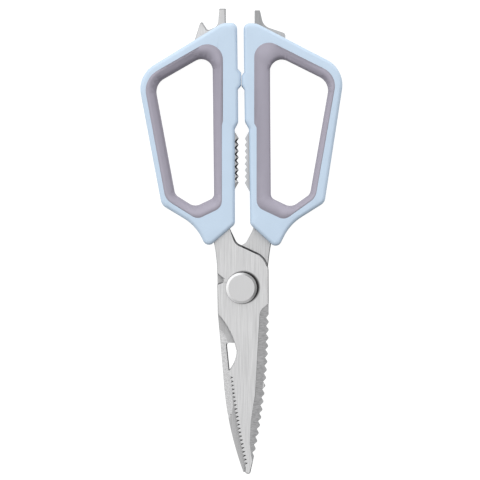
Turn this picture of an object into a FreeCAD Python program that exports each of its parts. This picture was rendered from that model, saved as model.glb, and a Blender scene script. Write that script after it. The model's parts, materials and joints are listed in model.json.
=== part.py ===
"""Kitchen shears: two crossed steel blades, overmoulded handles and a screwed pivot.

Everything is drawn round the pivot: X to the right, Y towards the handles, Z up, with Z = 0 on the
plane between the two blades. Each piece is then placed so that the shears lie on Z = 0, centred.
"""
import FreeCAD, Part
import math
import os
from collections import namedtuple

import Sketcher

Vector = FreeCAD.Vector
doc = FreeCAD.newDocument("kitchen_shears")
sheet = doc.addObject("Spreadsheet::Sheet", "sizes")

# Driving sizes, in millimetres and degrees.
SIZES = [
    # Reach of the tips, the opener claw and the screwdriver prong from the pivot
    ("tip_reach", 85.8),
    ("opener_reach", 129.2),
    ("driver_reach", 128.6),
    # Blades and pivot stack
    ("blade_thickness", 2.5),
    ("blade_gap", 0.3),
    ("edge_break", 0.3),
    ("barrel_radius", 4.0),
    ("running_clearance", 0.04),
    ("key_half_width", 3.3),
    ("key_clearance", 0.02),
    ("head_radius", 7.15),
    ("head_height", 2.0),
    ("head_bevel", 1.1),
    ("head_rim", 1.2),
    ("head_play", 0.05),
    ("barrel_recess", 0.2),
    ("bore_radius", 2.5),
    ("bore_depth", 5.2),
    ("thread_clearance", 0.03),
    ("screw_length", 4.6),
    ("screw_head_radius", 5.4),
    ("screw_head_height", 1.5),
    ("screw_head_bevel", 0.4),
    ("slot_width", 1.2),
    ("slot_depth", 0.8),
    ("washer_radius", 7.0),
    ("washer_thickness", 0.2),
    ("spring_radius", 6.2),
    ("spring_thickness", 0.5),
    ("spring_rise", 0.25),
    # Serrated cutting edge of the front blade
    ("serration_pitch", 1.83),
    ("serration_width", 1.3),
    ("serration_depth", 0.75),
    ("serration_lead", 3.4),
    # Fish-scaler teeth on the front blade's spine
    ("scaler_pitch", 3.7),
    ("scaler_width", 3.1),
    ("scaler_depth", 1.15),
    ("scaler_lead", 1.6),
    # Nutcracker teeth between the handles
    ("nut_pitch", 2.92),
    ("nut_width", 2.75),
    ("nut_depth", 0.95),
    ("nut_start", 50.2),
    ("nut_count", 7),
    ("cut_over", 2.0),
    # Grinds: each plane passes through an anchor point on the blade's face
    ("scale_grind_x", 3.9),
    ("scale_grind_y", "15.8 - tip_reach"),
    ("scale_grind_lean", -3.64),
    ("scale_grind_tilt", 10.0),
    ("knife_grind_x", -4.9),
    ("knife_grind_y", -40.0),
    ("knife_grind_lean", 4.13),
    ("knife_grind_tilt", -28.0),
    ("driver_grind_length", 7.6),
    ("driver_grind_tilt", -8.0),
    # Handles
    ("handle_thickness", 13.0),
    ("rim_round", 2.0),
    ("left_liner_round", 3.8),
    ("right_liner_round", 2.3),
]

# Outline corners: name, x, y, corner radius (0 leaves the corner sharp). Text is worked out in the sheet.
# Plate and tang of a blade meet in two corners.
FRONT_NECK = ("neck_top", -11.95, 17.0, 0.0)
FRONT_THROAT = ("throat_end", -3.0, 22.7, 0.0)
BACK_NECK = ("neck_top", 13.15, 17.0, 0.0)
BACK_THROAT = ("throat_end", 3.0, 22.7, 0.0)
FRONT_PLATE = [
    FRONT_NECK,
    ("neck", -11.3, 11.0, 12.0),
    ("bite_top", -11.2, 6.8, 0.4),
    ("bite_root", -7.6, 3.1, 0.9),
    ("bite_low", -11.2, 1.8, 0.4),
    ("belly", -10.9, -12.0, 0.0),
    ("bone_deep", -2.15, -29.0, 0.0),
    ("edge_start", -5.7, -38.0, 0.0),
    ("edge_end", 1.7, "3.8 - tip_reach", 0.0),
    ("tip_left", 1.6, "-tip_reach", 1.2),
    ("tip_right", 4.0, "-tip_reach", 0.8),
    ("scaler_end", 5.75, "7.6 - tip_reach", 0.0),
    ("scaler_start", 12.6, -12.2, 0.0),
    ("cheek", 12.5, 14.0, 9.0),
    ("throat", -2.1, 20.8, 4.0),
    FRONT_THROAT,
]
FRONT_TANG = [
    ("root_inner", -4.0, 15.0, 0.0),
    ("root_outer", -9.5, 12.0, 0.0),
    FRONT_NECK,
    ("heel", -12.8, 22.0, 3.0),
    ("tang_back", -10.8, 33.0, 5.0),
    ("tang_flare", -10.8, "opener_reach - 17.2", 1.5),
    ("claw_heel", -22.4, "opener_reach - 17.2", 0.8),
    ("claw_tooth", -18.6, "opener_reach - 5.3", 0.8),
    ("claw_valley", -15.6, "opener_reach - 10.1", 0.9),
    ("claw_bay", -10.9, "opener_reach - 8.2", 3.0),
    ("claw_outer", -10.2, "opener_reach", 0.5),
    ("claw_inner", -7.2, "opener_reach", 0.5),
    ("claw_root", -7.2, "opener_reach - 12.7", 1.5),
    ("tang_jog", -5.4, "opener_reach - 15.7", 1.5),
    ("nut_high", -5.4, 76.0, 0.0),
    ("nut_last", -1.3, 69.4, 1.2),
    ("nut_first", -1.3, 48.8, 1.2),
    ("nut_low", -5.4, 41.5, 0.0),
    ("tang_foot", -5.4, 27.6, 5.0),
    FRONT_THROAT,
]
BACK_PLATE = [
    BACK_NECK,
    ("neck", 12.3, 10.0, 12.0),
    ("belly", 12.2, -11.0, 2.0),
    ("bone_shelf", -2.4, -25.6, 4.0),
    ("bone_corner", -6.8, -25.2, 1.2),
    ("bone_foot", -5.4, -38.6, 1.5),
    ("edge_start", 4.6, -42.0, 1.0),
    ("edge_end", 2.9, "0.6 - tip_reach", 0.8),
    ("tip", 0.9, "0.6 - tip_reach", 0.0),
    ("spine_low", -8.4, -41.0, 0.0),
    ("spine_mid", -10.9, -12.0, 8.0),
    ("cheek", -11.2, 14.6, 9.0),
    ("throat", 2.1, 20.8, 4.0),
    BACK_THROAT,
]
BACK_TANG = [
    ("root_inner", 4.0, 15.0, 0.0),
    ("root_outer", 9.5, 12.0, 0.0),
    BACK_NECK,
    ("heel", 14.1, 22.6, 3.0),
    ("tang_back", 11.0, 33.0, 5.0),
    ("tang_flare", 11.0, "driver_reach - 16.6", 1.5),
    ("driver_heel", 20.4, "driver_reach - 16.6", 0.8),
    ("driver_step", 20.4, "driver_reach - 10.7", 1.6),
    ("driver_bay", 10.2, "driver_reach - 7.3", 5.0),
    ("driver_outer", 8.6, "driver_reach", 0.4),
    ("driver_inner", 6.1, "driver_reach", 0.4),
    ("driver_neck", 6.1, "driver_reach - 11.6", 1.5),
    ("driver_root", 5.6, "driver_reach - 14.6", 1.5),
    ("nut_high", 5.6, 76.0, 0.0),
    ("nut_last", 1.6, 69.2, 1.2),
    ("nut_first", 1.6, 48.6, 1.2),
    ("nut_low", 5.6, 41.5, 0.0),
    ("tang_foot", 5.6, 27.6, 5.0),
    BACK_THROAT,
]
# Bent edges: the corner that the arc leaves, its radius, and the side of its centre (+1 is left).
FRONT_BENDS = [
    ("belly", 38.0, -1),
    ("bone_deep", 14.5, -1),
    ("edge_start", 497.0, 1),
    ("scaler_end", 300.0, 1),
]
BACK_BENDS = [
    ("tip", 156.0, -1),
]

# Handle corners, with x measured outwards from the middle of the closed shears.
LEFT_HANDLE = [
    ("crown_inner", 2.0, 122.6, 2.8),
    ("crown_break", 8.9, 122.3, 8.0),
    ("shoulder", 48.1, 98.3, 13.0),
    ("elbow", 36.8, 38.3, 5.0),
    ("waist", 21.1, 28.9, 22.0),
    ("foot", 15.95, 18.3, 2.8),
    ("inner_foot", 3.0, 29.5, 2.8),
    ("step_low", 3.1, 73.6, 2.0),
    ("step_high", 1.5, 76.6, 2.8),
    ("stop_low", 1.65, 92.0, 0.0),
    ("stop_face_low", 0.1, 93.8, 0.0),
    ("stop_face_high", 0.1, 99.4, 0.0),
    ("stop_high", 1.75, 101.2, 0.0),
]
RIGHT_HANDLE = [
    ("crown_inner", 1.0, 122.4, 2.8),
    ("crown_break", 7.0, 122.2, 8.0),
    ("shoulder", 47.9, 101.05, 13.0),
    ("elbow", 38.4, 39.5, 4.0),
    ("waist", 22.55, 29.5, 22.0),
    ("foot", 16.6, 17.8, 2.8),
    ("inner_foot", 4.1, 29.4, 2.8),
    ("step_low", 3.5, 73.6, 2.0),
    ("step_high", 1.6, 77.0, 2.8),
    ("stop_low", 1.4, 91.8, 0.0),
    ("stop_face_low", 0.1, 93.4, 0.0),
    ("stop_face_high", 0.1, 98.0, 0.0),
    ("stop_high", 1.3, 99.6, 0.0),
]
# Finger hole: name, the handle corner it sits behind, the wall to that corner in x and y, radius.
LEFT_HOLE = [
    ("hole_top_inner", "crown_break", 4.5, -12.4, 5.3),
    ("hole_top_outer", "shoulder", -7.9, -3.8, 7.0),
    ("hole_low_outer", "elbow", -6.1, 4.9, 4.0),
    ("hole_bottom", "waist", 0.5, 8.6, 5.0),
    ("hole_low_inner", "inner_foot", 9.65, 12.3, 2.8),
]
RIGHT_HOLE = [
    ("hole_top_inner", "crown_break", 6.15, -12.8, 5.5),
    ("hole_top_outer", "shoulder", -6.9, -5.55, 7.0),
    ("hole_low_outer", "elbow", -6.55, 4.0, 4.0),
    ("hole_bottom", "waist", 0.5, 7.75, 5.0),
    ("hole_low_inner", "inner_foot", 9.5, 12.3, 3.0),
]
# Seam between shell and liner: name, the hole corner it runs round, the liner's width there, radius.
LEFT_SEAM = [
    ("seam_top_inner", "hole_top_inner", -4.9, 7.8, 7.2),
    ("seam_top_outer", "hole_top_outer", 5.1, 2.0, 10.5),
    ("seam_low_outer", "hole_low_outer", 4.3, -2.3, 7.0),
    ("seam_bottom", "hole_bottom", -1.2, -5.75, 4.5),
    ("seam_low_inner", "hole_low_inner", -3.65, -4.6, 5.0),
    ("seam_jog_low", "step_low", 5.9, 1.4, 0.0),
    ("seam_jog_high", "step_high", 7.0, 0.4, 0.0),
]
RIGHT_SEAM = [
    ("seam_top_inner", "hole_top_inner", -7.25, 8.0, 6.8),
    ("seam_top_outer", "hole_top_outer", 3.15, 2.7, 9.0),
    ("seam_low_outer", "hole_low_outer", 2.3, -1.9, 6.5),
    ("seam_bottom", "hole_bottom", -3.2, -5.85, 4.5),
    ("seam_low_inner", "hole_low_inner", -6.6, -4.3, 5.0),
    ("seam_jog_low", "step_low", 3.5, 0.4, 0.0),
    ("seam_jog_high", "step_high", 4.3, -1.0, 0.0),
]

# Grind outlines in the plane of the grind: u across it, v along its anchor line.
SCALE_GRIND = [
    ("far_top", 9.0, 68.3, 0.0),
    ("runout", 0.95, 59.6, 5.0),
    ("waist", 1.2, 21.0, 15.0),
    ("narrow", -0.1, 7.5, 10.0),
    ("kink", -0.1, -1.6, 0.0),
    ("lower", 2.1, -12.0, 0.0),
    ("far_low", 9.0, -12.0, 0.0),
]
KNIFE_GRIND = [
    ("far_top", -7.0, 23.5, 0.0),
    ("runout_top", -1.3, 19.5, 4.0),
    ("near_top", 0.4, 11.5, 0.0),
    ("near_low", 0.4, -13.0, 0.0),
    ("runout_low", -1.1, -19.2, 4.0),
    ("far_low", -7.0, -24.5, 0.0),
]


class Size:
    """A size with its expression in the sheet and its present value."""

    def __init__(self, text, value):
        self.text = text
        self.value = value

    def __add__(self, other):
        other = as_size(other)
        return Size(f"({self.text} + {other.text})", self.value + other.value)

    def __sub__(self, other):
        other = as_size(other)
        return Size(f"({self.text} - {other.text})", self.value - other.value)

    def __mul__(self, other):
        other = as_size(other)
        return Size(f"({self.text} * {other.text})", self.value * other.value)

    def __truediv__(self, other):
        other = as_size(other)
        return Size(f"({self.text} / {other.text})", self.value / other.value)

    def __neg__(self):
        return Size(f"(-{self.text})", -self.value)


def as_size(number):
    return number if isinstance(number, Size) else Size(f"{number}", number)


def root(size):
    return Size(f"sqrt({size.text})", math.sqrt(size.value))


def whole(size):
    return Size(f"floor({size.text})", math.floor(size.value))


def bearing(rise, run):
    """The angle, in degrees, of the direction (run, rise)."""
    angle = math.degrees(math.atan2(rise.value, run.value))
    return Size(f"atan2({rise.text}; {run.text})", angle)


def turn_of(length, radius):
    """The angle, in degrees, that a length takes up round a radius."""
    angle = math.degrees(length.value / radius.value)
    return Size(f"({length.text} / {radius.text} * 1 rad)", angle)


aliases = []


def put(alias, value):
    """Adds a size to the sheet; a text value is a formula."""
    aliases.append(alias)
    cell_row = len(aliases)
    sheet.set(f"A{cell_row}", alias)
    sheet.set(f"B{cell_row}", f"={value}" if isinstance(value, str) else str(value))
    sheet.setAlias(f"B{cell_row}", alias)


def size(alias):
    return Size(f"sizes.{alias}", float(sheet.get(alias)))


# Fill the sheet
for alias, value in SIZES:
    put(alias, value)
for owner, corners in (
    ("front", FRONT_PLATE + FRONT_TANG),
    ("back", BACK_PLATE + BACK_TANG),
    ("left", LEFT_HANDLE),
    ("right", RIGHT_HANDLE),
    ("scale_grind", SCALE_GRIND),
    ("knife_grind", KNIFE_GRIND),
):
    for name, x, y, radius in dict.fromkeys(corners):
        put(f"{owner}_{name}_x", x)
        put(f"{owner}_{name}_y", y)
        if radius:
            put(f"{owner}_{name}_round", radius)
sits_behind = {}
for owner, corners in (
    ("left", LEFT_HOLE + LEFT_SEAM),
    ("right", RIGHT_HOLE + RIGHT_SEAM),
):
    for name, behind, x, y, radius in corners:
        sits_behind[owner, name] = behind
        put(f"{owner}_{name}_x", x)
        put(f"{owner}_{name}_y", y)
        if radius:
            put(f"{owner}_{name}_round", radius)
for owner, bends in (("front", FRONT_BENDS), ("back", BACK_BENDS)):
    for name, radius, side in bends:
        put(f"{owner}_{name}_bend", radius)
doc.recompute()

# Levels and places shared by the pieces
half_gap = size("blade_gap") / 2
front_top = half_gap + size("blade_thickness")
back_bottom = -front_top
half_handle = size("handle_thickness") / 2
shift_y = (size("tip_reach") - size("opener_reach")) / 2
ORIGIN = Size("0", 0.0)

# A face counts as flat from this upward share of its normal, and a height matches within the slack.
FLAT = 0.99
SLACK = 0.001
# Chamfers that touch a round of radius 1: one across the corner, then one over each of its edges
FIRST_FLAT = 2 - math.sqrt(2)
NEXT_FLAT = math.sqrt(2) - 1 - math.tan(math.pi / 16)

Corner = namedtuple("Corner", "x y round_off bend side")


def corner_list(owner, rows, bends=(), mirror=1):
    """Corners of an outline; a bend turns the edge that leaves its corner into an arc."""
    sides = {name: side for name, radius, side in bends}
    made = []
    for name, x, y, radius in rows:
        place_x = size(f"{owner}_{name}_x")
        made.append(Corner(
            place_x if mirror > 0 else -place_x,
            size(f"{owner}_{name}_y"),
            size(f"{owner}_{name}_round") if radius else None,
            size(f"{owner}_{name}_bend") if name in sides else None,
            sides.get(name, 0),
        ))
    return made


def behind_list(owner, rows, mirror):
    """Corners that are measured from the corners which they sit behind."""
    made = []
    for name, behind, x, y, radius in rows:
        place_x, place_y = place_of(owner, name)
        made.append(Corner(
            place_x if mirror > 0 else -place_x,
            place_y,
            size(f"{owner}_{name}_round") if radius else None,
            None,
            0,
        ))
    return made


def place_of(owner, name):
    """The place of a handle's corner, counted on from the corner that it sits behind, if any."""
    x = size(f"{owner}_{name}_x")
    y = size(f"{owner}_{name}_y")
    if (owner, name) not in sits_behind:
        return x, y
    outer_x, outer_y = place_of(owner, sits_behind[owner, name])
    return outer_x + x, outer_y + y


def arc_centre(start, end, radius, side):
    """The centre of an arc from start to end; side is +1 where it lies to the left of the travel."""
    run = end[0] - start[0]
    rise = end[1] - start[1]
    chord_squared = run * run + rise * rise
    share = root(radius * radius / chord_squared - 0.25) * side
    centre_x = (start[0] + end[0]) / 2 - rise * share
    centre_y = (start[1] + end[1]) / 2 + run * share
    return centre_x, centre_y


# Document helpers
def bind(item, path, amount):
    item.setExpression(path, amount.text)


def put_in_place(item):
    """Moves a piece from the pivot's frame to the frame of the shears."""
    bind(item, "Placement.Base.y", shift_y)
    bind(item, "Placement.Base.z", half_handle)


def new_body(name):
    body = doc.addObject("PartDesign::Body", name)
    body.Label = name
    return body


def new_sketch(body, name, level=None, role="XY_Plane"):
    sketch = body.newObject("Sketcher::SketchObject", name)
    plane = [item for item in body.Origin.OriginFeatures if item.Role == role][0]
    sketch.AttachmentSupport = [(plane, "")]
    sketch.MapMode = "FlatFace"
    if level is not None:
        bind(sketch, "AttachmentOffset.Base.z", level)
    return sketch


def arc_between(centre, start, end):
    """An arc that runs counter-clockwise from start to end."""
    radius = (start - centre).Length
    first = math.atan2(start.y - centre.y, start.x - centre.x)
    last = math.atan2(end.y - centre.y, end.x - centre.x)
    circle = Part.Circle(centre, Vector(0, 0, 1), radius)
    return Part.ArcOfCircle(circle, first, last)


class Ties:
    """The constraints of a sketch, added together and then bound to their sizes."""

    def __init__(self, sketch):
        self.sketch = sketch
        self.made = []
        self.sizes = []

    def hold(self, kind, *geometry):
        self.made.append(Sketcher.Constraint(kind, *geometry))

    def measure(self, amount, kind, *geometry):
        self.sizes.append((len(self.made), amount))
        self.made.append(Sketcher.Constraint(kind, *geometry, amount.value))

    def apply(self):
        offset = self.sketch.ConstraintCount
        self.sketch.addConstraint(self.made)
        for index, amount in self.sizes:
            bind(self.sketch, f"Constraints[{offset + index}]", amount)


# Points of a sketch edge, as constraints number them
START, END, CENTRE = range(1, 4)


def draw_edges(sketch, ties, corners, points, setback):
    """The straight and bent edges, each with the positions of its first and last point."""
    edges = []
    for i, corner in enumerate(corners):
        j = (i + 1) % len(corners)
        if corner.bend:
            start = (corner.x, corner.y)
            end = (corners[j].x, corners[j].y)
            centre_x, centre_y = arc_centre(start, end, corner.bend, corner.side)
            centre = Vector(centre_x.value, centre_y.value, 0)
            forward = corner.side > 0
            first, last = (points[i], points[j]) if forward else (points[j], points[i])
            edge = sketch.addGeometry(arc_between(centre, first, last))
            ties.measure(corner.bend, "Radius", edge)
            edges.append((edge, START, END) if forward else (edge, END, START))
        else:
            along = (points[j] - points[i]).normalize()
            line = Part.LineSegment(points[i] + along * setback[i], points[j] - along * setback[j])
            edges.append((sketch.addGeometry(line), START, END))
    return edges


def draw_outline(sketch, corners):
    """A closed outline of straight and bent edges with rounded corners, held by the corners' places."""
    count = len(corners)
    points = [Vector(corner.x.value, corner.y.value, 0) for corner in corners]
    arriving = [(points[i] - points[i - 1]).normalize() for i in range(count)]
    leaving = [(points[(i + 1) % count] - points[i]).normalize() for i in range(count)]
    setback = []
    for i, corner in enumerate(corners):
        radius = corner.round_off.value if corner.round_off else 0
        setback.append(radius * math.tan(arriving[i].getAngle(leaving[i]) / 2))
    ties = Ties(sketch)
    edges = draw_edges(sketch, ties, corners, points, setback)
    for i, corner in enumerate(corners):
        before, before_start, before_end = edges[i - 1]
        after, after_start, after_end = edges[i]
        if corner.round_off is None:
            ties.hold("Coincident", before, before_end, after, after_start)
            ties.measure(corner.x, "DistanceX", after, after_start)
            ties.measure(corner.y, "DistanceY", after, after_start)
            continue
        turns_left = arriving[i].cross(leaving[i]).z > 0
        inward = Vector(-arriving[i].y, arriving[i].x, 0) * (1 if turns_left else -1)
        touch_in = points[i] - arriving[i] * setback[i]
        touch_out = points[i] + leaving[i] * setback[i]
        centre = touch_in + inward * corner.round_off.value
        first, last = (touch_in, touch_out) if turns_left else (touch_out, touch_in)
        arc = sketch.addGeometry(arc_between(centre, first, last))
        arc_in, arc_out = (START, END) if turns_left else (END, START)
        point = sketch.addGeometry(Part.Point(points[i]), True)
        ties.hold("Tangent", before, before_end, arc, arc_in)
        ties.hold("Tangent", arc, arc_out, after, after_start)
        ties.hold("PointOnObject", point, START, before)
        ties.hold("PointOnObject", point, START, after)
        ties.measure(corner.round_off, "Radius", arc)
        ties.measure(corner.x, "DistanceX", point, START)
        ties.measure(corner.y, "DistanceY", point, START)
    ties.apply()


def sharp(*places):
    return [Corner(as_size(x), as_size(y), None, None, 0) for x, y in places]


def draw_circle(sketch, x, y, radius):
    place = Vector(x.value, y.value, 0)
    circle = sketch.addGeometry(Part.Circle(place, Vector(0, 0, 1), radius.value))
    ties = Ties(sketch)
    ties.measure(radius, "Radius", circle)
    ties.measure(x, "DistanceX", circle, CENTRE)
    ties.measure(y, "DistanceY", circle, CENTRE)
    ties.apply()


def pad(body, sketch, name, length):
    made = body.newObject("PartDesign::Pad", name)
    made.Profile = sketch
    bind(made, "Length", length)
    return made


def cut_through(body, sketch, name):
    made = body.newObject("PartDesign::Pocket", name)
    made.Refine = False
    made.Profile = sketch
    made.Type = "ThroughAll"
    made.SideType = "Symmetric"
    return made


def cut_above(body, sketch, name):
    """Removes everything on the side that the sketch's normal points to."""
    made = body.newObject("PartDesign::Pocket", name)
    made.Refine = False
    made.Profile = sketch
    made.Type = "ThroughAll"
    made.Reversed = True
    return made


def notch_corners(edge, root_depth, width, over, outward):
    """A V notch whose mouth lies across the local X axis at the edge, pointing inwards."""
    flare = (over + root_depth) / root_depth * width / 2
    mouth = edge + over * outward
    return sharp(
        (edge - root_depth * outward, ORIGIN),
        (mouth, flare),
        (mouth, -flare),
    )


def arc_teeth(body, name, owner, start_name, end_name, side):
    """Notches along a bent edge of a blade, cut once and repeated about the bend's centre.

    The row starts at start_name; side is +1 where the bend's centre lies to the left of the row.
    """
    start = (size(f"{owner}_{start_name}_x"), size(f"{owner}_{start_name}_y"))
    end = (size(f"{owner}_{end_name}_x"), size(f"{owner}_{end_name}_y"))
    bent_from = start_name if f"{owner}_{start_name}_bend" in aliases else end_name
    radius = size(f"{owner}_{bent_from}_bend")
    centre_x, centre_y = arc_centre(start, end, radius, side)
    run = end[0] - start[0]
    rise = end[1] - start[1]
    pitch = size(f"{name}_pitch")
    room = root(run * run + rise * rise) - size(f"{name}_lead")
    lead = turn_of(size(f"{name}_lead"), radius)
    first = bearing(start[1] - centre_y, start[0] - centre_x) + lead * side
    sketch = new_sketch(body, f"{name}_notch")
    bind(sketch, "AttachmentOffset.Base.x", centre_x)
    bind(sketch, "AttachmentOffset.Base.y", centre_y)
    bind(sketch, "AttachmentOffset.Rotation.Yaw", first)
    depth = size(f"{name}_depth")
    width = size(f"{name}_width")
    draw_outline(sketch, notch_corners(radius, depth, width, size("cut_over"), 1))
    notch = cut_through(body, sketch, f"{name}_cut")
    doc.recompute()
    pattern = body.newObject("PartDesign::PolarPattern", f"{name}_row")
    pattern.Refine = False
    pattern.Originals = [notch]
    pattern.Axis = (sketch, ["N_Axis"])
    pattern.Reversed = side < 0
    pattern.Mode = "Spacing"
    bind(pattern, "Offset", turn_of(pitch, radius))
    bind(pattern, "Occurrences", whole(room / pitch) + 1)
    body.Tip = pattern
    doc.recompute()


def nutcracker_teeth(body, edge, outward):
    """A row of V notches up the steel plate between the handles."""
    sketch = new_sketch(body, "nut_notch")
    bind(sketch, "AttachmentOffset.Base.y", size("nut_start"))
    depth = size("nut_depth")
    draw_outline(sketch, notch_corners(edge, depth, size("nut_width"), size("cut_over") / 2, outward))
    notch = cut_through(body, sketch, "nut_cut")
    doc.recompute()
    pattern = body.newObject("PartDesign::LinearPattern", "nut_row")
    pattern.Refine = False
    pattern.Originals = [notch]
    pattern.Direction = (sketch, ["V_Axis"])
    pattern.Mode = "Spacing"
    bind(pattern, "Offset", size("nut_pitch"))
    bind(pattern, "Occurrences", size("nut_count"))
    body.Tip = pattern
    doc.recompute()


def tilted_sketch(body, name, level):
    """A sketch on a plane through a grind's anchor, leaned along the blade and tilted across it."""
    sketch = new_sketch(body, name, level)
    bind(sketch, "AttachmentOffset.Base.x", size(f"{name}_x"))
    bind(sketch, "AttachmentOffset.Base.y", size(f"{name}_y"))
    bind(sketch, "AttachmentOffset.Rotation.Yaw", size(f"{name}_lean"))
    bind(sketch, "AttachmentOffset.Rotation.Pitch", size(f"{name}_tilt"))
    return sketch


def rim_edges(shape, levels, outer):
    """The edges round the flat faces at some levels, on their outline or round their opening."""
    wanted = []
    for face in shape.Faces:
        height = face.CenterOfMass.z
        if abs(face.normalAt(0, 0).z) < FLAT or all(abs(height - level.value) > SLACK for level in levels):
            continue
        for wire in face.Wires:
            if wire.isSame(face.OuterWire) == outer:
                wanted.extend(wire.Edges)
    return wanted


def level_edges(shape, level):
    """The edges that run level at a height."""
    wanted = []
    for edge in shape.Edges:
        box = edge.BoundBox
        if abs(box.ZMin - level.value) < SLACK and abs(box.ZMax - level.value) < SLACK:
            wanted.append(edge)
    return wanted


def chamfer(body, name, feature, edges, amount):
    made = body.newObject("PartDesign::Chamfer", name)
    made.Base = (feature, [
        f"Edge{number}"
        for number, edge in enumerate(feature.Shape.Edges, 1)
        if any(edge.isSame(other) for other in edges)
    ])
    bind(made, "Size", amount)
    body.Tip = made
    doc.recompute()
    return made


def break_edges(body, plate, level, toothed=()):
    """Breaks the outline of the plate's outer face, except along the bends that teeth are cut into."""
    bends = [size(bend).value for bend in toothed]
    plain = []
    for edge in rim_edges(plate.Shape, [level], True):
        radius = getattr(edge.Curve, "Radius", 0)
        if all(abs(radius - bend) > SLACK for bend in bends):
            plain.append(edge)
    chamfer(body, "broken_edges", plate, plain, size("edge_break"))


def tang(body, owner, rows, level):
    """The part of the plate that the handle is moulded round."""
    outline = new_sketch(body, "tang_outline", level)
    draw_outline(outline, corner_list(owner, rows))
    pad(body, outline, "tang", size("blade_thickness"))


def front_blade():
    body = new_body("front_blade")
    tang(body, "front", FRONT_TANG, half_gap)
    outline = new_sketch(body, "plate_outline", half_gap)
    draw_outline(outline, corner_list("front", FRONT_PLATE, FRONT_BENDS))
    plate = pad(body, outline, "plate", size("blade_thickness"))
    doc.recompute()
    break_edges(body, plate, front_top, ("front_edge_start_bend", "front_scaler_end_bend"))
    pivot = new_sketch(body, "pivot")
    draw_circle(pivot, ORIGIN, ORIGIN, size("barrel_radius") + size("running_clearance"))
    cut_through(body, pivot, "pivot_hole")
    doc.recompute()
    nutcracker_teeth(body, size("front_nut_first_x"), 1)
    arc_teeth(body, "scaler", "front", "scaler_start", "scaler_end", -1)
    arc_teeth(body, "serration", "front", "edge_start", "edge_end", 1)
    grind = tilted_sketch(body, "scale_grind", front_top)
    draw_outline(grind, corner_list("scale_grind", SCALE_GRIND))
    cut_above(body, grind, "scale_grind_cut")
    doc.recompute()
    return body


def back_blade():
    body = new_body("back_blade")
    tang(body, "back", BACK_TANG, back_bottom)
    outline = new_sketch(body, "plate_outline", back_bottom)
    draw_outline(outline, corner_list("back", BACK_PLATE, BACK_BENDS))
    plate = pad(body, outline, "plate", size("blade_thickness"))
    doc.recompute()
    break_edges(body, plate, back_bottom)
    pivot = new_sketch(body, "pivot")
    draw_double_d(pivot, size("key_clearance"))
    cut_through(body, pivot, "pivot_hole")
    doc.recompute()
    nutcracker_teeth(body, size("back_nut_first_x"), -1)
    grind = tilted_sketch(body, "knife_grind", -half_gap)
    draw_outline(grind, corner_list("knife_grind", KNIFE_GRIND))
    cut_above(body, grind, "knife_grind_cut")
    driver = new_sketch(body, "driver_grind", -half_gap)
    length = size("driver_grind_length")
    bind(driver, "AttachmentOffset.Base.y", size("driver_reach") - length)
    bind(driver, "AttachmentOffset.Rotation.Roll", size("driver_grind_tilt"))
    width = size("back_driver_bay_x") + size("cut_over")
    far = length + size("cut_over")
    draw_outline(driver, sharp((0, 0), (width, 0), (width, far), (0, far)))
    cut_above(body, driver, "driver_grind_cut")
    doc.recompute()
    return body


def draw_double_d(sketch, clearance):
    """A round of the barrel's size with two flats, grown by a clearance."""
    radius = size("barrel_radius") + clearance
    flat = size("key_half_width") + clearance
    reach = root(radius * radius - flat * flat)
    places = ((flat, -reach), (flat, reach), (-flat, reach), (-flat, -reach))
    corners = sharp(*places)
    corners[1] = corners[1]._replace(bend=radius, side=1)
    corners[3] = corners[3]._replace(bend=radius, side=1)
    draw_outline(sketch, corners)


def handle_blank(name, outer, inner):
    """A slab of the handle's thickness between two outlines."""
    body = new_body(name)
    face = new_sketch(body, "face", -half_handle)
    draw_outline(face, outer)
    pad(body, face, "slab", size("handle_thickness"))
    opening = new_sketch(body, "opening")
    draw_outline(opening, inner)
    ring = cut_through(body, opening, "ring")
    doc.recompute()
    return body, ring


def ease_rims(body, slab, radius, outer):
    """Eases the rims with a chamfer, and in front follows a round by chamfering its two edges again."""
    flat = radius * FIRST_FLAT
    eased = chamfer(body, "rims", slab, rim_edges(slab.Shape, [half_handle, -half_handle], outer), flat)
    edges = rim_edges(eased.Shape, [half_handle], outer) + level_edges(eased.Shape, half_handle - flat)
    chamfer(body, "front_rims", eased, edges, radius * NEXT_FLAT)


def overmould(name, body, blade):
    """The moulding, with the room that the blade's tang takes up in it."""
    made = doc.addObject("Part::Cut", name)
    made.Label = name
    made.Base = body
    made.Tool = blade.Tip
    doc.recompute()
    return made


def handle(owner, rows, hole_rows, seam_rows, mirror, blade):
    outer = corner_list(owner, rows, mirror=mirror)
    hole = behind_list(owner, hole_rows, mirror)
    seam = behind_list(owner, seam_rows, mirror)
    shell, slab = handle_blank(f"{owner}_shell_blank", outer, seam)
    ease_rims(shell, slab, size("rim_round"), True)
    liner, slab = handle_blank(f"{owner}_liner_blank", seam, hole)
    ease_rims(liner, slab, size(f"{owner}_liner_round"), False)
    return [
        overmould(f"{owner}_handle_shell", shell, blade),
        overmould(f"{owner}_handle_liner", liner, blade),
    ]


def revolve(body, name, profile):
    """A turned piece: the profile's x is the radius and its y the height."""
    sketch = new_sketch(body, f"{name}_profile", role="XZ_Plane")
    draw_outline(sketch, profile)
    made = body.newObject("PartDesign::Revolution", name)
    made.Profile = sketch
    made.ReferenceAxis = (sketch, ["V_Axis"])
    made.Angle = 360
    doc.recompute()
    return made


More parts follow.
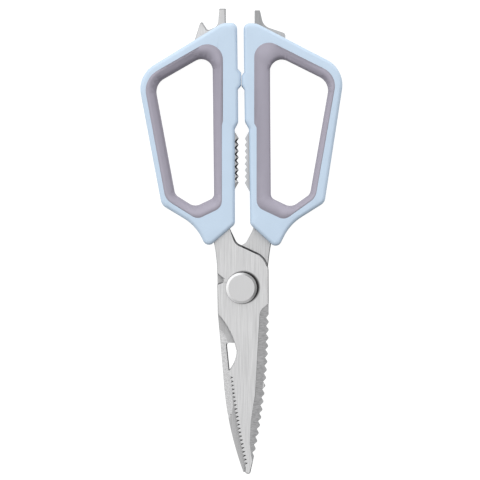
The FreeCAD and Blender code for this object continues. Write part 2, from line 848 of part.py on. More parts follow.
def pivot_stud():
    body = new_body("pivot_stud")
    seat = front_top + size("head_play")
    top = seat + size("head_height")
    foot = back_bottom + size("barrel_recess")
    barrel = size("barrel_radius")
    head = size("head_radius")
    revolve(body, "turned", sharp(
        (ORIGIN, foot),
        (barrel, foot),
        (barrel, seat),
        (head, seat),
        (head, seat + size("head_rim")),
        (head - size("head_bevel"), top),
        (ORIGIN, top),
    ))
    flats = new_sketch(body, "flats", -half_gap)
    draw_circle(flats, ORIGIN, ORIGIN, size("head_radius"))
    draw_double_d(flats, ORIGIN)
    key = body.newObject("PartDesign::Pocket", "key_flats")
    key.Profile = flats
    key.Type = "ThroughAll"
    bore = new_sketch(body, "bore", foot)
    draw_circle(bore, ORIGIN, ORIGIN, size("bore_radius"))
    tapped = body.newObject("PartDesign::Pocket", "tapped_bore")
    tapped.Profile = bore
    bind(tapped, "Length", size("bore_depth"))
    tapped.Reversed = True
    doc.recompute()
    return body


def pivot_screw():
    body = new_body("pivot_screw")
    seat = back_bottom - size("spring_thickness") - size("spring_rise")
    foot = seat - size("screw_head_height")
    shank = size("bore_radius") - size("thread_clearance")
    head = size("screw_head_radius")
    bevel = size("screw_head_bevel")
    revolve(body, "turned", sharp(
        (ORIGIN, foot),
        (head - bevel, foot),
        (head, foot + bevel),
        (head, seat),
        (shank, seat),
        (shank, seat + size("screw_length")),
        (ORIGIN, seat + size("screw_length")),
    ))
    slot = new_sketch(body, "slot", foot)
    half = size("slot_width") / 2
    draw_outline(slot, sharp((-head, -half), (head, -half), (head, half), (-head, half)))
    cut = body.newObject("PartDesign::Pocket", "driver_slot")
    cut.Profile = slot
    bind(cut, "Length", size("slot_depth"))
    cut.Reversed = True
    doc.recompute()
    return body


def friction_washer():
    body = new_body("friction_washer")
    ring = new_sketch(body, "ring", -half_gap)
    draw_circle(ring, ORIGIN, ORIGIN, size("washer_radius"))
    draw_circle(ring, ORIGIN, ORIGIN, size("barrel_radius") + size("running_clearance"))
    pad(body, ring, "disc", size("washer_thickness"))
    doc.recompute()
    return body


def spring_washer():
    """A conical washer whose wide rim bears on the blade and whose inner rim bears on the screw."""
    body = new_body("spring_washer")
    inner = size("bore_radius") + size("running_clearance")
    outer = size("spring_radius")
    thick = size("spring_thickness")
    rise = size("spring_rise")
    revolve(body, "cone", sharp(
        (inner, back_bottom - rise - thick),
        (outer, back_bottom - thick),
        (outer, back_bottom),
        (inner, back_bottom - rise),
    ))
    return body


front = front_blade()
back = back_blade()
pieces = [front, back]
pieces += handle("left", LEFT_HANDLE, LEFT_HOLE, LEFT_SEAM, -1, front)
pieces += handle("right", RIGHT_HANDLE, RIGHT_HOLE, RIGHT_SEAM, 1, back)
pieces += [pivot_stud(), pivot_screw(), friction_washer(), spring_washer()]
for piece in pieces:
    put_in_place(piece)
doc.recompute()

# Check the model before anything is written
for item in doc.Objects:
    if "Invalid" in item.State or "Error" in item.State:
        raise RuntimeError(f"{item.Label} failed: {item.State}")
    if item.TypeId == "PartDesign::Pocket":
        if item.Shape.Volume >= item.BaseFeature.Shape.Volume:
            raise RuntimeError(f"{item.Label} in {item.getParentGeoFeatureGroup().Label} cuts nothing")
for piece in pieces:
    if piece.Shape.isNull() or not piece.Shape.isValid() or len(piece.Shape.Solids) != 1:
        raise RuntimeError(f"{piece.Label} is not one sound solid")

os.makedirs("parts", exist_ok=True)
for piece in pieces:
    piece.Shape.exportStep(f"parts/{piece.Label}.step")
    box = piece.Shape.BoundBox
    print(f"{piece.Label}: {piece.Shape.Volume:.1f} mm3, {box}")
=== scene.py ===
"""Finishes and studio stage for a pair of kitchen shears that the CAD frame describes.

The blades, handle shells and liners are refined copies of their CAD pieces: walls that lean a little,
smooth rims and sunk liners. The pivot's pieces keep their CAD shapes. Each piece has a procedural
finish, and the stage is a pale floor, soft light and a camera that looks straight down.
"""
import json
import math

import bmesh
import bpy
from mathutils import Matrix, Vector
from mathutils.kdtree import KDTree

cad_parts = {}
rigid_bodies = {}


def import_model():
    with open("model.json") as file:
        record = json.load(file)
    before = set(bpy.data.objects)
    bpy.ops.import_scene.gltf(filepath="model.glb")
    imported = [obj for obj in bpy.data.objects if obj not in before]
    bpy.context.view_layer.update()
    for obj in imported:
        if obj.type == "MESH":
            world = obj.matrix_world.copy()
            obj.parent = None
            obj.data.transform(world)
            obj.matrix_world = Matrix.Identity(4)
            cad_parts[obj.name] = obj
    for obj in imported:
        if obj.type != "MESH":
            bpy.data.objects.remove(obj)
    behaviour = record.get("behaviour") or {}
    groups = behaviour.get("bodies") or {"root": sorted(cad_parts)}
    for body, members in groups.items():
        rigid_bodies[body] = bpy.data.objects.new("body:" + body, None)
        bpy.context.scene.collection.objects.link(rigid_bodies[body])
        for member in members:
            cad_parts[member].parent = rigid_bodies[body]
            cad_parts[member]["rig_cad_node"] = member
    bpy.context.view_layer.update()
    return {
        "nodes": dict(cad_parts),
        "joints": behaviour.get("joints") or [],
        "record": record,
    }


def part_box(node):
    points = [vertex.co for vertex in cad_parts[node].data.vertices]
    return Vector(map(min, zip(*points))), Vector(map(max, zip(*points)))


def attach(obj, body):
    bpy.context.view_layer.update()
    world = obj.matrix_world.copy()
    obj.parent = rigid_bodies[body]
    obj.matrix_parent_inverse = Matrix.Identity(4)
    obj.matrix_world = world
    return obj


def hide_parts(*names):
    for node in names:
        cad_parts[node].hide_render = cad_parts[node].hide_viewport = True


bl_info = {
    "name": "Kitchen Shears Finishes",
    "version": (1, 0, 0),
    "blender": (4, 5, 0),
    "location": "View3D > Sidebar > Shears",
    "description": "Dresses the packed kitchen shears and stages them for a catalogue picture",
    "category": "Object",
}

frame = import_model()
PIVOT = Vector(frame["joints"][0]["pos_m"])

MM = 0.001
MERGE = 0.002 * MM

# Sizes of fine marks: lathe rings and scratches on the pivot, clouds and bloom in the plastics, paper fibre
RING_WIDTH = 0.25 * MM
SCRATCH = (0.3 * MM, 5.0 * MM, 0.3 * MM)
CLOUD, BLOOM = 9.0 * MM, 6.0 * MM
WASHER_GRAIN = 0.2 * MM
PAPER_FIBRE = 0.4 * MM
# Heights of the fine relief in each finish
BRUSH_RELIEF, RING_RELIEF = 0.004 * MM, 0.003 * MM
SPARK_RELIEF, DUST_RELIEF = 0.012 * MM, 0.02 * MM

# Upward share of a normal: on walls, on the plates' flats and grinds, and on flats alone
WALL_FACING, CRISP_FACING, FLAT_FACING = 0.1, 0.8, 0.995
# Upward shares at which a part of a finish starts and is full
SCALER_GRIND = (0.994, 0.988)
KNIFE_GRIND = (0.96, 0.92)
BROKEN_EDGE = (0.85, 0.75)
BRIGHT_EDGE = (0.5, 0.62)
HEAD_BEVEL, HEAD_RIM = (0.9, 0.75), (0.6, 0.3)
# Where the liner's walls, painted a little darker as shade, start and are full
LINER_WALL = (0.98, 0.4)

# The plates' broken edges are bright on the left, a tone that stands for light from there: that side, and
# the lean at which this starts and is full
BRIGHT_SIDE = (-1.0, 0.0, 0.0)
BRIGHT_LEAN = (0.36, 0.5)
# Places along the back blade where its neck's brighter tone, painted light beside its flat's painted shade,
# comes and goes
NECK_START = (-18.0 * MM, -10.0 * MM)
NECK_END = (75.0 * MM, 52.0 * MM)
# Where the claw and the prong rise out of the handles and their darker tones of painted shade start
CROWN_START = (97.5 * MM, 100.5 * MM)
# Painted shadow round the pivot's head: dark rings that stand for its soft shadow. On the plates: how far
# each is shifted to the shadow's side, how far off the head it starts and is full, and how much it darkens
SHADOW_SIDE = Vector((0.94, 0.34, 0.0))
PLATE_SHADOWS = (
    (1.0 * MM, 0.9 * MM, -0.2 * MM, 0.94),
    (0.2 * MM, 0.45 * MM, 0.05 * MM, 0.7),
)
# On the head's bevel, painted shade on that side: the lean to it at which the shade starts and is full, and
# how much it darkens
BEVEL_SHADE_LEAN = (0.05, 0.45)
BEVEL_SHADE = 0.93

# Front blade as in its CAD solid: serrated edge, step to the grind, nutcracker, claw and throat
EDGE_CENTRE = Vector((487.6, 0.7)) * MM
EDGE_RADIUS = 497.0 * MM
NOTCH_DEPTH = 0.75 * MM
NOTCH_SLACK = 0.075 * MM
STEP_LEFT, STEP_LOW, STEP_HIGH = 4.0 * MM, -84.0 * MM, -30.0 * MM
NUT_ROOT, NUT_LOW, NUT_HIGH = -2.6 * MM, 26.0 * MM, 49.0 * MM
CLAW_LOW = 96.0 * MM
THROAT_LEFT, THROAT_LOW, THROAT_HIGH = -4.0 * MM, -12.0 * MM, 3.0 * MM
EDGE_BREAK = 0.32 * MM
# Back blade as in its CAD solid: right wall of its neck, and left wall of the bone notch, which the knife
# grind cuts at a slope
NECK_RIGHT, NECK_LOW, NECK_HIGH = 12.0 * MM, -13.0 * MM, 2.0 * MM
BONE_LEFT, BONE_RIGHT = -6.8 * MM, -5.2 * MM
BONE_LOW, BONE_HIGH = -60.1 * MM, -47.3 * MM
BONE_LEVEL = 5.5 * MM
BONE_SLOPE = 0.55

SKY_SIDE = (-0.3, 0.954, 0.0)
SKY_FULL = 0.35
OVERHEAD_PLACE, OVERHEAD_AIM, OVERHEAD_SIDE = (-0.35, -0.2, 2.2), (-0.2, -0.1, 0.0), 1.3
KEY_PLACE, KEY_AIM, KEY_SIDE = (-0.7, 1.3, 1.5), (0.0, 0.0, 0.0), 2.2


class Signal:
    """A value in a material's node tree; arithmetic on it adds Math nodes."""

    def __init__(self, finish, socket):
        self.finish = finish
        self.socket = socket

    def maths(self, operation, first, second):
        return self.finish.node("ShaderNodeMath", {"operation": operation}, {0: first, 1: second})

    def __add__(self, other):
        return self.maths("ADD", self, other)

    def __radd__(self, other):
        return self.maths("ADD", other, self)

    def __sub__(self, other):
        return self.maths("SUBTRACT", self, other)

    def __rsub__(self, other):
        return self.maths("SUBTRACT", other, self)

    def __mul__(self, other):
        return self.maths("MULTIPLY", self, other)

    def __rmul__(self, other):
        return self.maths("MULTIPLY", other, self)


class Finish:
    """One procedural material, built up node by node."""

    def __init__(self, name):
        self.material = bpy.data.materials.new(name)
        self.material.use_nodes = True
        self.tree = self.material.node_tree
        self.tree.nodes.clear()

    def node(self, kind, settings=None, inputs=None, output=0):
        """Adds a node, applies its settings, then its socket values or links, and gives one output."""
        made = self.tree.nodes.new(kind)
        for key, value in (settings or {}).items():
            setattr(made, key, value)
        for key, value in (inputs or {}).items():
            if isinstance(value, Signal):
                self.tree.links.new(value.socket, made.inputs[key])
            else:
                made.inputs[key].default_value = value
        return Signal(self, made.outputs[output])

    def place(self):
        return self.node("ShaderNodeTexCoord", output="Object")

    def facing(self):
        """How far the surface faces up or down: 1 on a flat face, 0 on a side wall."""
        normal = self.node("ShaderNodeTexCoord", output="Normal")
        upward = self.node("ShaderNodeSeparateXYZ", None, {"Vector": normal}, "Z")
        return self.node("ShaderNodeMath", {"operation": "ABSOLUTE"}, {0: upward})

    def leaning(self, side):
        """How far the surface leans to a side: above 0 where it faces that side."""
        normal = self.node("ShaderNodeTexCoord", output="Normal")
        return self.node(
            "ShaderNodeVectorMath",
            {"operation": "DOT_PRODUCT"},
            {0: normal, 1: side},
            "Value",
        )

    def distance(self, centre):
        """How far the surface is from an upright line through a point."""
        kind = "ShaderNodeVectorMath"
        offset = self.node(kind, {"operation": "SUBTRACT"}, {0: self.place(), 1: centre})
        level = self.node(kind, {"operation": "MULTIPLY"}, {0: offset, 1: (1.0, 1.0, 0.0)})
        return self.node(kind, {"operation": "LENGTH"}, {0: level}, "Value")

    def between(self, value, low, high):
        """0 below low, 1 above high and a soft step between; low may be the larger one."""
        return self.node(
            "ShaderNodeMapRange",
            {"interpolation_type": "SMOOTHSTEP"},
            {"Value": value, "From Min": low, "From Max": high},
        )

    def grain(self, sizes, detail=2.0, rough=0.6, at=None):
        """Noise from 0 to 1 whose grains have the given sizes, in metres, along x, y and z."""
        stretched = self.node(
            "ShaderNodeVectorMath",
            {"operation": "DIVIDE"},
            {0: at or self.place(), 1: sizes},
        )
        return self.node(
            "ShaderNodeTexNoise",
            None,
            {"Vector": stretched, "Scale": 1.0, "Detail": detail, "Roughness": rough},
        )

    def blend(self, share, first, second):
        return self.node(
            "ShaderNodeMix",
            {"data_type": "RGBA"},
            {"Factor": share, 6: first, 7: second},
            2,
        )

    def shade(self, colour, factor):
        """A colour made lighter or darker by a factor."""
        return self.node(
            "ShaderNodeMix",
            {"data_type": "RGBA", "blend_type": "MULTIPLY"},
            {"Factor": 1.0, 6: colour, 7: factor},
            2,
        )

    def bump(self, height, depth, strength=1.0):
        return self.node(
            "ShaderNodeBump",
            None,
            {"Height": height, "Distance": depth, "Strength": strength},
        )

    def surface(self, inputs):
        """Closes the material with a Principled surface."""
        shader = self.node("ShaderNodeBsdfPrincipled", None, inputs)
        output = self.tree.nodes.new("ShaderNodeOutputMaterial")
        self.tree.links.new(shader.socket, output.inputs["Surface"])
        return self.material


def opaque(colour):
    return (*colour, 1.0)


def dress(node_name, material):
    """Gives a CAD piece its finish."""
    slots = frame["nodes"][node_name].material_slots
    if not slots:
        raise RuntimeError(f"{node_name} has no material slot")
    for slot in slots:
        slot.material = material


def colour_property(name, description, default):
    return bpy.props.FloatVectorProperty(
        name=name,
        description=description,
        subtype="COLOR",
        size=3,
        min=0.0,
        max=1.0,
        default=default,
    )


def length_property(name, description, default):
    return bpy.props.FloatProperty(
        name=name,
        description=description,
        subtype="DISTANCE",
        unit="LENGTH",
        min=0.0,
        default=default,
    )


def amount_property(name, description, default):
    return bpy.props.FloatProperty(name=name, description=description, min=0.0, default=default)


def place_property(name, description, default):
    return bpy.props.FloatProperty(
        name=name,
        description=description,
        subtype="DISTANCE",
        unit="LENGTH",
        default=default,
    )


def angle_property(name, description, default):
    return bpy.props.FloatProperty(
        name=name,
        description=description,
        subtype="ANGLE",
        unit="ROTATION",
        default=math.radians(default),
    )


def power_property(name, description, default):
    return bpy.props.FloatProperty(
        name=name,
        description=description,
        subtype="POWER",
        unit="POWER",
        min=0.0,
        default=default,
    )


class ShearsSteel(bpy.types.PropertyGroup):
    """Finish of the bare steel."""

    front_colour: colour_property("Front blade", "Flat of the front blade", (0.69, 0.69, 0.695))
    # The back blade's flat is darker than the front blade's as painted shade, where it lies under it; its
    # neck's brighter tone is painted light, and the claw's and the prong's darker tones are painted shade
    back_shade_colour: colour_property("Back blade", "Flat of the back blade", (0.52, 0.52, 0.525))
    neck_light_colour: colour_property("Neck", "Back blade where it leaves its handle", (0.65, 0.65, 0.655))
    claw_shade_colour: colour_property("Claw", "Front blade above its handle", (0.635, 0.635, 0.64))
    prong_shade_colour: colour_property("Prong", "Back blade above its handle", (0.335, 0.335, 0.34))
    # The scaler grind's darker tone is partly its cross-ground finish and partly painted shade
    scaler_grind_and_shade_colour: colour_property("Scaler grind", "Coarse grind of the front blade", (0.35, 0.35, 0.355))
    knife_colour: colour_property("Knife grind", "Fine grind of the back blade", (0.49, 0.49, 0.495))
    # Cut edges and walls of the plates are painted dark as shade
    edge_shade_colour: colour_property("Cut edge", "Broken edges and walls of the plates", (0.05, 0.05, 0.053))
    stud_colour: colour_property("Pivot", "Turned pivot pieces", (0.66, 0.66, 0.665))
    # The pivot's bright bevel is partly polish and partly painted highlight
    bevel_polish_and_highlight_colour: colour_property("Bevel", "Bright bevels of the pivot pieces", (0.95, 0.95, 0.955))
    serration_lean: length_property("Serration lean", "Lean of the notches' roots", 0.75 * MM)
    step_lean: length_property("Step lean", "Lean of the step from the flat to the scaler grind", 0.14 * MM)
    nut_lean: length_property("Nutcracker lean", "Lean of the nutcracker's wall", 0.95 * MM)
    throat_lean: length_property("Throat lean", "Lean of the throat's wall, both ways", 0.42 * MM)
    claw_lean: length_property("Claw lean", "Lean of the claw's upper and right walls", 0.3 * MM)
    neck_lean: length_property("Neck lean", "Lean of the right wall of the back blade's neck", 0.4 * MM)
    bone_lean: length_property("Bone notch lean", "Lean of the bone notch's left wall", 0.5 * MM)
    streak_width: length_property("Streak width", "Width of a brush mark", 0.35 * MM)
    streak_length: length_property("Streak length", "Length of a brush mark", 16.0 * MM)
    crease: angle_property("Crease", "Walls that bend more stay crisp", 25.0)


class ShearsHandles(bpy.types.PropertyGroup):
    """Finish of the moulded handles."""

    shell_colour: colour_property("Shell", "Hard plastic of the handles", (0.53, 0.65, 0.785))
    liner_colour: colour_property("Liner", "Soft liner of the finger loops", (0.385, 0.365, 0.432))
    washer_colour: colour_property("Washer", "Nylon washer between the blades", (0.8, 0.8, 0.77))
    spark_size: length_property("Spark grain", "Size of the mould's spark grain on the shell", 0.22 * MM)
    liner_grain: length_property("Liner grain", "Size of the matt grain on the liner", 0.3 * MM)
    liner_fall: amount_property("Liner fall", "Slope of the liner from its seam towards the hole", 0.42)
    liner_dish: length_property("Liner dish", "Most that the liner sinks towards the hole", 2.3 * MM)
    shell_crease: angle_property("Shell crease", "Edges of the shell that bend more stay crisp", 32.0)
    liner_crease: angle_property("Liner crease", "Edges of the liner that bend more stay crisp", 62.0)


class ShearsStage(bpy.types.PropertyGroup):
    """Floor, lights and camera."""

    floor_colour: colour_property("Floor", "Paper under the shears", (0.2, 0.2, 0.2))
    floor_glow: amount_property("Floor glow", "Light that comes through the paper", 0.93)
    floor_reach: length_property("Floor reach", "Half the side of the floor", 3.0)
    overhead_power: power_property("Overhead power", "Large softbox above the camera", 0.8)
    key_power: power_property("Key power", "Softbox at the upper left", 14.5)
    sky_bright: amount_property("Bright sky", "Even light from the upper left", 1.18)
    sky_dim: amount_property("Dim sky", "Even light from the lower right", 0.14)
    camera_height: length_property("Camera height", "Height of the camera above the floor", 1.6)
    view_width: length_property("View width", "Width of what the camera sees", 222.2 * MM)
    aim_x: place_property("Aim across", "Picture centre across the shears", -0.65 * MM)
    aim_y: place_property("Aim along", "Picture centre along the shears", 0.5 * MM)


def plate_steel(name, steel, tones, grind):
    """Brushed plate: streaks along it, tones by place of painted light and shade, a cross-ground grind,
    edges painted dark as shade on the right, and a painted shadow round the pivot's head.
    """
    made = Finish(name)
    facing = made.facing()
    along = made.node("ShaderNodeSeparateXYZ", None, {"Vector": made.place()}, "Y")
    neck = made.between(along, *NECK_START) * made.between(along, *NECK_END)
    crown_shade = made.between(along, *CROWN_START)
    ground = made.between(facing, *grind)
    # Broken edges and walls are painted dark as shade, except where they lean to the left
    bright = made.between(facing, *BRIGHT_EDGE) * made.between(made.leaning(BRIGHT_SIDE), *BRIGHT_LEAN)
    edge = made.between(facing, *BROKEN_EDGE) * (1 - bright)
    # Tones by place: the back blade's darker flat and the claw's and prong's darker tones are painted
    # shade, the back blade's brighter neck is painted light
    tone = made.blend(neck, opaque(tones["flat"]), opaque(tones["neck"]))
    tone = made.blend(crown_shade, tone, opaque(tones["crown_shade"]))
    # The grind's tone: on the front blade's scaler grind it is darker, partly as painted shade
    tone = made.blend(ground, tone, opaque(tones["grind"]))
    tone = made.blend(edge, tone, opaque(steel.edge_shade_colour))

    width, length = steel.streak_width, steel.streak_length
    fine = made.between(made.grain((width, length, width), 3.0, 0.65), 0.3, 0.7)
    broad = made.grain((6 * width, 5 * length, 6 * width), 2.0, 0.5)
    across = made.between(made.grain((length / 3, width, width), 3.0, 0.65), 0.25, 0.75)
    marks = made.node("ShaderNodeMix", {"data_type": "FLOAT"}, {"Factor": ground, 2: fine, 3: across})
    brushing_and_shadow = 0.78 + 0.14 * broad + (0.22 + 0.4 * ground) * marks
    head_low, head_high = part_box("pivot_stud")
    head_radius = (head_high[0] - head_low[0]) / 2
    # Painted shadow round the pivot's head darkens the plate's brushing
    for shift, start, full, strength in PLATE_SHADOWS:
        off_head = made.distance(PIVOT + shift * SHADOW_SIDE)
        painted_shade = made.between(off_head, head_radius + start, head_radius + full)
        brushing_and_shadow = brushing_and_shadow * (1 - strength * painted_shade)
    return made.surface({
        "Base Color": made.shade(tone, brushing_and_shadow),
        "Metallic": 0.8 + 0.2 * edge,
        "Roughness": 0.3 + 0.12 * marks + 0.2 * edge,
        "Normal": made.bump(marks, BRUSH_RELIEF, 0.5),
    })


def turned_steel(name, steel, ring_width):
    """Lathe-turned steel: fine rings about the pivot, and a bright bevel, partly polish and partly painted
    highlight, with painted shade on one side.
    """
    made = Finish(name)
    along = made.node("ShaderNodeCombineXYZ", None, {"X": made.distance(PIVOT)})
    rings = made.grain((ring_width, 1.0, 1.0), 2.0, 0.6, at=along)
    scratches = made.grain(SCRATCH, 2.0, 0.6)
    facing = made.facing()
    bevel = made.between(facing, *HEAD_BEVEL) * (1 - made.between(facing, *HEAD_RIM))
    # Painted shade on the bevel's side away from the light
    painted_shade = bevel * made.between(made.leaning(SHADOW_SIDE), *BEVEL_SHADE_LEAN)
    tone = made.blend(bevel, opaque(steel.stud_colour), opaque(steel.bevel_polish_and_highlight_colour))
    return made.surface({
        "Base Color": made.shade(tone, (0.9 + 0.1 * rings + 0.1 * scratches) * (1 - BEVEL_SHADE * painted_shade)),
        "Metallic": 1 - 0.85 * bevel,
        "Roughness": 0.26 + 0.14 * rings + 0.3 * bevel,
        "Normal": made.bump(rings, RING_RELIEF, 0.5),
    })


def moulded_plastic(name, colour, grain_size):
    """Satin plastic with the mould's fine spark grain and a faint cloudiness."""
    made = Finish(name)
    sparks = made.grain((grain_size,) * 3, 2.0, 0.55)
    cloud = made.grain((CLOUD,) * 3, 2.0, 0.5)
    return made.surface({
        "Base Color": made.shade(opaque(colour), 0.97 + 0.06 * cloud),
        "Roughness": 0.36 + 0.14 * sparks,
        "Specular IOR Level": 0.45,
        "Normal": made.bump(sparks, SPARK_RELIEF, 0.35),
    })


def soft_liner(name, colour, grain_size):
    """Matt soft moulding: dusty grain, a faint bloom, and walls painted a little darker as shade."""
    made = Finish(name)
    dust = made.grain((grain_size,) * 3, 3.0, 0.7)
    bloom = made.grain((BLOOM,) * 3, 2.0, 0.5)
    # The liner's walls are painted a little darker as shade
    liner_wall_shade = made.between(made.facing(), *LINER_WALL)
    grain_and_shade = (0.93 + 0.08 * bloom + 0.06 * dust) * (1 - 0.08 * liner_wall_shade)
    return made.surface({
        "Base Color": made.shade(opaque(colour), grain_and_shade),
        "Roughness": 0.66 + 0.14 * dust,
        "Specular IOR Level": 0.3,
        "Normal": made.bump(dust, DUST_RELIEF, 0.4),
    })


def merged_copy(node_name):
    """A copy of a CAD piece with its loose triangles merged, to be refined."""
    source = frame["nodes"][node_name]
    bpy.ops.object.select_all(action="DESELECT")
    source.select_set(True)
    bpy.context.view_layer.objects.active = source
    bpy.ops.object.duplicate()
    copy = bpy.context.object
    copy.name = f"{node_name}_finished"
    del copy["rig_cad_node"]
    bpy.ops.object.mode_set(mode="EDIT")
    bpy.ops.mesh.select_all(action="SELECT")
    bpy.ops.mesh.remove_doubles(threshold=MERGE)
    bpy.ops.object.mode_set(mode="OBJECT")
    return copy


def stand_for(copy, node_name, material):
    """Puts a refined copy in the place of its CAD piece."""
    copy.data.materials.clear()
    copy.data.materials.append(material)
    record = frame["record"]
    for body, nodes in record["behaviour"]["bodies"].items():
        if node_name in nodes:
            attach(copy, body)
    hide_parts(node_name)


def shift_vertices(level, wanted, shift):
    """Moves the vertices of the active piece that lie above a level where a test holds."""
    bpy.ops.object.mode_set(mode="EDIT")
    bpy.ops.mesh.select_mode(type="VERT")
    bpy.ops.mesh.select_all(action="DESELECT")
    mesh = bmesh.from_edit_mesh(bpy.context.object.data)
    picked = [vertex for vertex in mesh.verts if vertex.co.z > level and wanted(vertex.co)]
    if not picked:
        raise RuntimeError(f"nothing to move on {bpy.context.object.name}")
    for vertex in picked:
        vertex.select_set(True)
    mesh.select_flush(True)
    bpy.ops.transform.translate(value=shift)
    bpy.ops.object.mode_set(mode="OBJECT")


def on_notch_root(place):
    reach = (place.xy - EDGE_CENTRE).length
    return abs(EDGE_RADIUS - NOTCH_DEPTH - reach) < NOTCH_SLACK


def on_grind_step(place):
    return place.x > STEP_LEFT and STEP_LOW < place.y < STEP_HIGH


def on_nutcracker(place):
    return place.x > NUT_ROOT and NUT_LOW < place.y < NUT_HIGH


def on_claw(place):
    return place.y > CLAW_LOW


def on_throat(place):
    return place.x > THROAT_LEFT and THROAT_LOW < place.y < THROAT_HIGH


def on_neck(place):
    return place.x > NECK_RIGHT and NECK_LOW < place.y < NECK_HIGH


def on_bone_notch(place):
    return BONE_LEFT < place.x < BONE_RIGHT and BONE_LOW < place.y < BONE_HIGH


def shade_plate(crease):
    """Shades the active plate smooth along its walls, with crisp edges round its flats and grinds."""
    bpy.ops.object.shade_smooth_by_angle(angle=crease)
    bpy.ops.object.mode_set(mode="EDIT")
    bpy.ops.mesh.select_mode(type="EDGE")
    bpy.ops.mesh.select_all(action="DESELECT")
    mesh = bmesh.from_edit_mesh(bpy.context.object.data)
    for edge in mesh.edges:
        if any(abs(face.normal.z) > CRISP_FACING for face in edge.link_faces):
            edge.select_set(True)
    bpy.ops.mesh.mark_sharp()
    bpy.ops.object.mode_set(mode="OBJECT")


class SHEARS_OT_finish_front_blade(bpy.types.Operator):
    """Lean the walls of the front blade's teeth, grind, throat and claw, and brush it"""

    bl_idname = "shears.finish_front_blade"
    bl_label = "Finish Front Blade"

    def execute(self, context):
        steel = context.scene.shears_steel
        blade = merged_copy("front_blade")
        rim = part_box("front_blade")[1][2] - MERGE
        shift_vertices(rim, on_notch_root, (steel.serration_lean, 0.0, 0.0))
        shift_vertices(rim, on_grind_step, (-steel.step_lean, 0.0, 0.0))
        shift_vertices(rim, on_nutcracker, (-steel.nut_lean, 0.0, 0.0))
        shift_vertices(rim, on_claw, (-steel.claw_lean, -steel.claw_lean, 0.0))
        shift_vertices(rim - EDGE_BREAK, on_throat, (-steel.throat_lean, -steel.throat_lean, 0.0))
        shade_plate(steel.crease)
        # The claw's darker tone is painted shade
        tones = {
            "flat": steel.front_colour,
            "neck": steel.front_colour,
            "crown_shade": steel.claw_shade_colour,
            "grind": steel.scaler_grind_and_shade_colour,
        }
        stand_for(blade, "front_blade", plate_steel("front_blade_steel", steel, tones, SCALER_GRIND))
        return {"FINISHED"}


class SHEARS_OT_finish_back_blade(bpy.types.Operator):
    """Lean the walls of the back blade's neck and bone notch, and brush it"""

    bl_idname = "shears.finish_back_blade"
    bl_label = "Finish Back Blade"

    def execute(self, context):
        steel = context.scene.shears_steel
        blade = merged_copy("back_blade")
        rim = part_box("back_blade")[1][2] - MERGE
        shift_vertices(rim, on_neck, (-steel.neck_lean, 0.0, 0.0))
        shift_vertices(BONE_LEVEL, on_bone_notch, (-steel.bone_lean, 0.0, -BONE_SLOPE * steel.bone_lean))
        shade_plate(steel.crease)
        # The back blade's darker flat and prong are painted shade, its brighter neck is painted light
        tones = {
            "flat": steel.back_shade_colour,
            "neck": steel.neck_light_colour,
            "crown_shade": steel.prong_shade_colour,
            "grind": steel.knife_colour,
        }
        stand_for(blade, "back_blade", plate_steel("back_blade_steel", steel, tones, KNIFE_GRIND))
        return {"FINISHED"}


class SHEARS_OT_finish_pivot(bpy.types.Operator):
    """Turn the pivot's stud, screw and spring, and give the washer its nylon"""

    bl_idname = "shears.finish_pivot"
    bl_label = "Finish Pivot"

    def execute(self, context):
        steel = context.scene.shears_steel
        for node_name in ("pivot_stud", "pivot_screw", "spring_washer"):
            dress(node_name, turned_steel(f"{node_name}_steel", steel, RING_WIDTH))
        nylon = context.scene.shears_handles.washer_colour
        dress("friction_washer", moulded_plastic("washer_nylon", nylon, WASHER_GRAIN))
        return {"FINISHED"}


class SHEARS_OT_finish_shells(bpy.types.Operator):
    """Smooth the eased rims of both handle shells and give them their satin plastic"""

    bl_idname = "shears.finish_shells"
    bl_label = "Finish Handle Shells"

    def execute(self, context):
        handles = context.scene.shears_handles
        plastic = moulded_plastic("shell_plastic", handles.shell_colour, handles.spark_size)
        for node_name in ("left_handle_shell", "right_handle_shell"):
            shell = merged_copy(node_name)
            bpy.ops.object.shade_smooth_by_angle(angle=handles.shell_crease)
            weighted = shell.modifiers.new("rim_normals", "WEIGHTED_NORMAL")
            weighted.keep_sharp = True
            bpy.ops.object.modifier_apply(modifier=weighted.name)
            stand_for(shell, node_name, plastic)
        return {"FINISHED"}


def dish_liner(liner, fall, deepest):
    """Lowers the eased front rim of the finger hole, the further it is from the seam with the shell."""
    mesh = bmesh.new()
    mesh.from_mesh(liner.data)
    mesh.normal_update()
    front = max(vertex.co.z for vertex in mesh.verts) - MERGE
    seam = [
        vertex.co.copy() for vertex in mesh.verts
        if vertex.co.z > front and any(abs(face.normal.z) < WALL_FACING for face in vertex.link_faces)
    ]
    tree = KDTree(len(seam))
    for index, place in enumerate(seam):
        tree.insert((*place.xy, 0.0), index)
    tree.balance()
    eased = {
        vertex for face in mesh.faces for vertex in face.verts
        if WALL_FACING < face.normal.z < FLAT_FACING
    }
    for vertex in eased:
        distance = tree.find((*vertex.co.xy, 0.0))[2]
        vertex.co.z -= min(fall * distance, deepest)
    mesh.to_mesh(liner.data)
    mesh.free()


class SHEARS_OT_finish_liners(bpy.types.Operator):
    """Dish both finger-loop liners towards their holes and give them their matt soft moulding"""

    bl_idname = "shears.finish_liners"
    bl_label = "Finish Handle Liners"

    def execute(self, context):
        handles = context.scene.shears_handles
        rubber = soft_liner("liner_rubber", handles.liner_colour, handles.liner_grain)
        for node_name in ("left_handle_liner", "right_handle_liner"):
            liner = merged_copy(node_name)
            dish_liner(liner, handles.liner_fall, handles.liner_dish)
            bpy.ops.object.shade_smooth_by_angle(angle=handles.liner_crease)
            stand_for(liner, node_name, rubber)
        return {"FINISHED"}


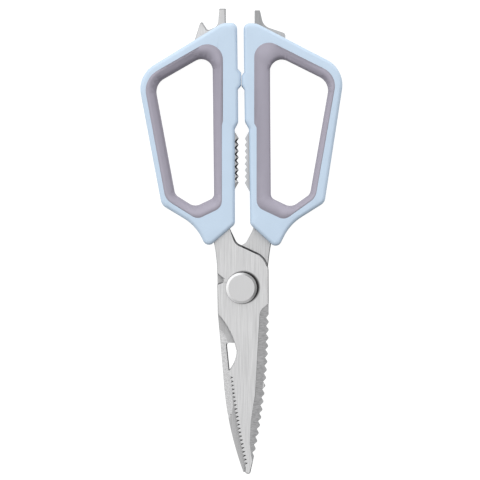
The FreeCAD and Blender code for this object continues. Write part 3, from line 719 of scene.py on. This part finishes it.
def add_softbox(name, place, aim, side, power):
    """A square area light that faces a point and isn't mirrored by the steel."""
    bpy.ops.object.light_add(type="AREA", location=place)
    lamp = bpy.context.object
    lamp.name = name
    lamp.data.shape = "SQUARE"
    lamp.data.size = side
    lamp.data.energy = power
    lamp.rotation_euler = (Vector(aim) - Vector(place)).to_track_quat("-Z", "Y").to_euler()
    lamp.visible_glossy = False


def studio_sky(bright, dim):
    """A world that is bright at the upper left of the picture and dim at the lower right."""
    world = bpy.data.worlds.new("studio_sky")
    world.use_nodes = True
    tree = world.node_tree
    direction = tree.nodes.new("ShaderNodeTexCoord")
    along = tree.nodes.new("ShaderNodeVectorMath")
    along.operation = "DOT_PRODUCT"
    along.inputs[1].default_value = SKY_SIDE
    ramp = tree.nodes.new("ShaderNodeMapRange")
    ramp.interpolation_type = "SMOOTHSTEP"
    ramp.inputs["From Min"].default_value = -1.0
    ramp.inputs["From Max"].default_value = SKY_FULL
    ramp.inputs["To Min"].default_value = dim
    ramp.inputs["To Max"].default_value = bright
    background = tree.nodes["Background"]
    background.inputs["Color"].default_value = (1.0, 1.0, 1.0, 1.0)
    tree.links.new(direction.outputs["Generated"], along.inputs[0])
    tree.links.new(along.outputs["Value"], ramp.inputs["Value"])
    tree.links.new(ramp.outputs["Result"], background.inputs["Strength"])
    return world


class SHEARS_OT_stage(bpy.types.Operator):
    """Lay the floor, hang the lights and set the camera above the shears"""

    bl_idname = "shears.stage"
    bl_label = "Set Stage"

    def execute(self, context):
        stage = context.scene.shears_stage
        bpy.ops.object.select_all(action="DESELECT")
        bpy.ops.mesh.primitive_plane_add(size=2 * stage.floor_reach)
        floor = context.object
        floor.name = "floor"
        paper = Finish("floor_paper")
        fibre = paper.grain((PAPER_FIBRE,) * 3)
        floor.data.materials.append(paper.surface({
            "Base Color": paper.shade(opaque(stage.floor_colour), 0.99 + 0.02 * fibre),
            "Roughness": 0.9,
            "Specular IOR Level": 0.1,
            "Emission Color": (1.0, 1.0, 1.0, 1.0),
            "Emission Strength": stage.floor_glow,
        }))
        floor.visible_diffuse = False
        floor.visible_glossy = False
        context.scene.world = studio_sky(stage.sky_bright, stage.sky_dim)
        context.scene.view_settings.view_transform = "Standard"
        add_softbox("overhead_softbox", OVERHEAD_PLACE, OVERHEAD_AIM, OVERHEAD_SIDE, stage.overhead_power)
        add_softbox("key_softbox", KEY_PLACE, KEY_AIM, KEY_SIDE, stage.key_power)

        bpy.ops.object.camera_add(location=(stage.aim_x, stage.aim_y, stage.camera_height))
        camera = context.object
        camera.name = "overhead_camera"
        camera.data.sensor_fit = "HORIZONTAL"
        reach = stage.camera_height - PIVOT.z
        camera.data.lens = camera.data.sensor_width * reach / stage.view_width
        context.scene.camera = camera
        return {"FINISHED"}


class SHEARS_PT_sidebar(bpy.types.Panel):
    """Steps and sizes for dressing the shears"""

    bl_idname = "SHEARS_PT_sidebar"
    bl_label = "Kitchen Shears"
    bl_space_type = "VIEW_3D"
    bl_region_type = "UI"
    bl_category = "Shears"

    def draw(self, context):
        layout = self.layout
        for operator in OPERATORS:
            layout.operator(operator.bl_idname)
        for group_name in GROUPS:
            group = getattr(context.scene, group_name)
            box = layout.box()
            for key in group.bl_rna.properties.keys():
                if key not in ("rna_type", "name"):
                    box.prop(group, key)


OPERATORS = (
    SHEARS_OT_finish_front_blade,
    SHEARS_OT_finish_back_blade,
    SHEARS_OT_finish_pivot,
    SHEARS_OT_finish_shells,
    SHEARS_OT_finish_liners,
    SHEARS_OT_stage,
)
GROUPS = {
    "shears_steel": ShearsSteel,
    "shears_handles": ShearsHandles,
    "shears_stage": ShearsStage,
}
CLASSES = (*GROUPS.values(), *OPERATORS, SHEARS_PT_sidebar)


def register():
    for cls in CLASSES:
        bpy.utils.register_class(cls)
    for name, group in GROUPS.items():
        setattr(bpy.types.Scene, name, bpy.props.PointerProperty(type=group))


def unregister():
    for name in GROUPS:
        delattr(bpy.types.Scene, name)
    for cls in reversed(CLASSES):
        bpy.utils.unregister_class(cls)


def main():
    register()
    bpy.ops.shears.finish_front_blade()
    bpy.ops.shears.finish_back_blade()
    bpy.ops.shears.finish_pivot()
    bpy.ops.shears.finish_shells()
    bpy.ops.shears.finish_liners()
    bpy.ops.shears.stage()


if __name__ == "__main__":
    main()
